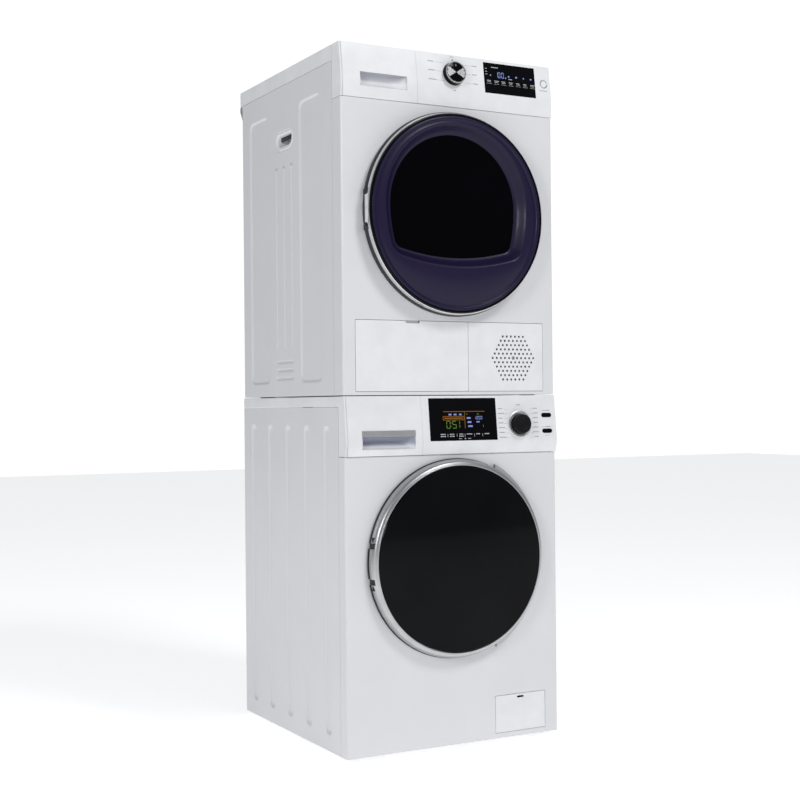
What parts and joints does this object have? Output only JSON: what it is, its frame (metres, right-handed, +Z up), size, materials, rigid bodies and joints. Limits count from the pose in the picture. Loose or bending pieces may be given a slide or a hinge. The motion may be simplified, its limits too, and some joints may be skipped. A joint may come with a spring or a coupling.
{
  "type": "washer dryer stack",
  "caption": "Front-loading washer with a condenser dryer stacked on it: hinged round doors, spinning drums, sliding detergent drawer and water tank, knobs, push buttons and flaps.",
  "frame": {"origin": "on the floor, under the middle of the pair's overall box", "axes": "+Z up, front of the machines facing -Y, +X to the right seen from the front"},
  "size_m": [0.595, 0.6924, 1.6935],
  "materials": {
    "white_paint": "smooth white powder paint, satin",
    "zinc_sheet": "zinc-coated sheet, dull",
    "worktop_white": "white laminate on board, satin",
    "white_plastic": "white moulded plastic, semi-gloss",
    "grey_plastic": "pale grey moulded plastic, matt",
    "dark_plastic": "dark moulded plastic, matt",
    "black_gloss": "black glossy panel",
    "knob_metal": "brushed metal look with a bright rim",
    "satin_silver": "satin silver",
    "door_glass": "dark tinted glass, polished",
    "bowl_glass": "clear glass",
    "rubber_grey": "grey rubber, matt",
    "rubber_black": "black rubber, matt",
    "stainless": "polished stainless steel",
    "steel": "machined steel",
    "cast_alloy": "cast alloy, matt",
    "motor_metal": "dark painted casting",
    "ballast": "grey casting, rough",
    "violet_plastic": "deep violet gloss plastic",
    "base_plastic": "dark grey moulded plastic"
  },
  "bodies": {
    "cabinets": {"washer_base": "zinc_sheet", "washer_feet": "rubber_black", "washer_side_panels": "white_paint", "washer_rear_panel": "zinc_sheet", "washer_front_panel": "white_paint", "washer_worktop": "worktop_white", "washer_console": "white_plastic", "washer_display": "black_gloss", "washer_drawer_housing": "grey_plastic", "washer_door_hinge": "steel", "washer_door_lock": "dark_plastic", "washer_gasket": "rubber_grey", "washer_tub": "grey_plastic", "washer_bearings": "steel", "washer_belt": "rubber_black", "washer_motor": "motor_metal", "washer_counterweights": "ballast", "washer_suspension": "steel", "washer_drain_pump": "dark_plastic", "washer_inlet_valve": "white_plastic", "cord_glands": "dark_plastic", "stacking_kit": "zinc_sheet", "case_screws": "steel", "dryer_base": "base_plastic", "dryer_side_panels": "white_paint", "dryer_rear_panel": "zinc_sheet", "dryer_front_panel": "white_paint", "dryer_worktop": "worktop_white", "dryer_console": "white_plastic", "dryer_display": "black_gloss", "dryer_door_hinge": "steel", "dryer_bulkhead": "grey_plastic", "dryer_lint_filter": "grey_plastic", "dryer_belt": "rubber_black", "dryer_motor": "motor_metal", "dryer_condenser": "cast_alloy", "dryer_vent_panel": "white_plastic"},
    "washer_knob": {"washer_knob": "knob_metal"},
    "washer_power_button": {"washer_power_button": "black_gloss"},
    "washer_start_button": {"washer_start_button": "black_gloss"},
    "washer_drawer": {"washer_drawer": "grey_plastic", "washer_drawer_front": "white_plastic"},
    "washer_door": {"washer_door_ring": "satin_silver", "washer_door_glass": "door_glass", "washer_door_bowl": "bowl_glass"},
    "washer_catch": {"washer_door_catch": "steel"},
    "washer_drum": {"washer_drum": "stainless", "washer_drum_shaft": "cast_alloy", "washer_drum_pulley": "cast_alloy"},
    "washer_rotor": {"washer_motor_pulley": "steel"},
    "washer_filter": {"washer_pump_filter": "grey_plastic"},
    "washer_flap": {"washer_pump_flap": "white_plastic"},
    "dryer_knob": {"dryer_knob": "knob_metal"},
    "dryer_power_button": {"dryer_power_button": "white_plastic"},
    "dryer_tank": {"dryer_water_tank": "white_plastic"},
    "dryer_door": {"dryer_door_frame": "base_plastic", "dryer_door_face": "violet_plastic"},
    "dryer_drum": {"dryer_drum": "stainless"},
    "dryer_fan": {"dryer_fan": "dark_plastic"},
    "dryer_flap": {"dryer_filter_flap": "white_plastic"}
  },
  "joints": [
    {"name": "washer_knob_turn", "type": "hinge", "parent": "cabinets", "child": "washer_knob", "pos_m": [0.187, -0.30493, 0.7865], "axis": [0, 0.9944, -0.1061], "continuous": true},
    {"name": "washer_power_press", "type": "slide", "parent": "cabinets", "child": "washer_power_button", "axis": [0, 0.9944, -0.1061], "range_m": [0, 0.0015], "stiffness_N_per_m": 300},
    {"name": "washer_start_press", "type": "slide", "parent": "cabinets", "child": "washer_start_button", "axis": [0, 0.9944, -0.1061], "range_m": [0, 0.0015], "stiffness_N_per_m": 300},
    {"name": "washer_drawer_slide", "type": "slide", "parent": "cabinets", "child": "washer_drawer", "axis": [0, -1, 0], "range_m": [0, 0.26]},
    {"name": "washer_door_hinge", "type": "hinge", "parent": "cabinets", "child": "washer_door", "pos_m": [-0.23, -0.3152, 0.464], "axis": [0, 0, -1], "range_deg": [0, 120]},
    {"name": "washer_catch_pivot", "type": "hinge", "parent": "washer_door", "child": "washer_catch", "pos_m": [0.205, -0.3077, 0.464], "axis": [0, 0, 1], "range_deg": [0, 10], "stiffness_Nm_per_rad": 0.05},
    {"name": "washer_drum_spin", "type": "hinge", "parent": "cabinets", "child": "washer_drum", "pos_m": [0, -0.0002, 0.464], "axis": [0, 1, 0], "continuous": true},
    {"name": "washer_rotor_spin", "type": "hinge", "parent": "cabinets", "child": "washer_rotor", "pos_m": [-0.04, 0.1798, 0.117], "axis": [0, 1, 0], "continuous": true},
    {"name": "washer_filter_turn", "type": "hinge", "parent": "cabinets", "child": "washer_filter", "pos_m": [0.185, -0.2402, 0.069], "axis": [0, -1, 0], "range_deg": [0, 90]},
    {"name": "washer_flap_hinge", "type": "hinge", "parent": "cabinets", "child": "washer_flap", "pos_m": [0.185, -0.296, 0.028], "axis": [1, 0, 0], "range_deg": [0, 90]},
    {"name": "dryer_knob_turn", "type": "hinge", "parent": "cabinets", "child": "dryer_knob", "pos_m": [0.011, -0.29287, 1.6455], "axis": [0, 0.9921, -0.1254], "continuous": true},
    {"name": "dryer_power_press", "type": "slide", "parent": "cabinets", "child": "dryer_power_button", "axis": [0, 0.9921, -0.1254], "range_m": [0, 0.0015], "stiffness_N_per_m": 300},
    {"name": "dryer_tank_slide", "type": "slide", "parent": "cabinets", "child": "dryer_tank", "axis": [0, -1, 0], "range_m": [0, 0.3]},
    {"name": "dryer_door_hinge", "type": "hinge", "parent": "cabinets", "child": "dryer_door", "pos_m": [-0.236, -0.3138, 1.2987], "axis": [0, 0, -1], "range_deg": [0, 120]},
    {"name": "dryer_drum_spin", "type": "hinge", "parent": "cabinets", "child": "dryer_drum", "pos_m": [0, -0.0002, 1.2987], "axis": [0, 1, 0], "continuous": true},
    {"name": "dryer_fan_spin", "type": "hinge", "parent": "cabinets", "child": "dryer_fan", "pos_m": [0.17, -0.0808, 0.945], "axis": [0, 1, 0], "continuous": true},
    {"name": "dryer_flap_hinge", "type": "hinge", "parent": "cabinets", "child": "dryer_flap", "pos_m": [0, -0.2916, 0.8745], "axis": [1, 0, 0], "range_deg": [0, 90]}
  ],
  "couplings": [
    {"joint": "washer_rotor_spin", "follows": "washer_drum_spin", "ratio": 12.5},
    {"joint": "dryer_fan_spin", "follows": "dryer_drum_spin", "ratio": 31.875}
  ]
}
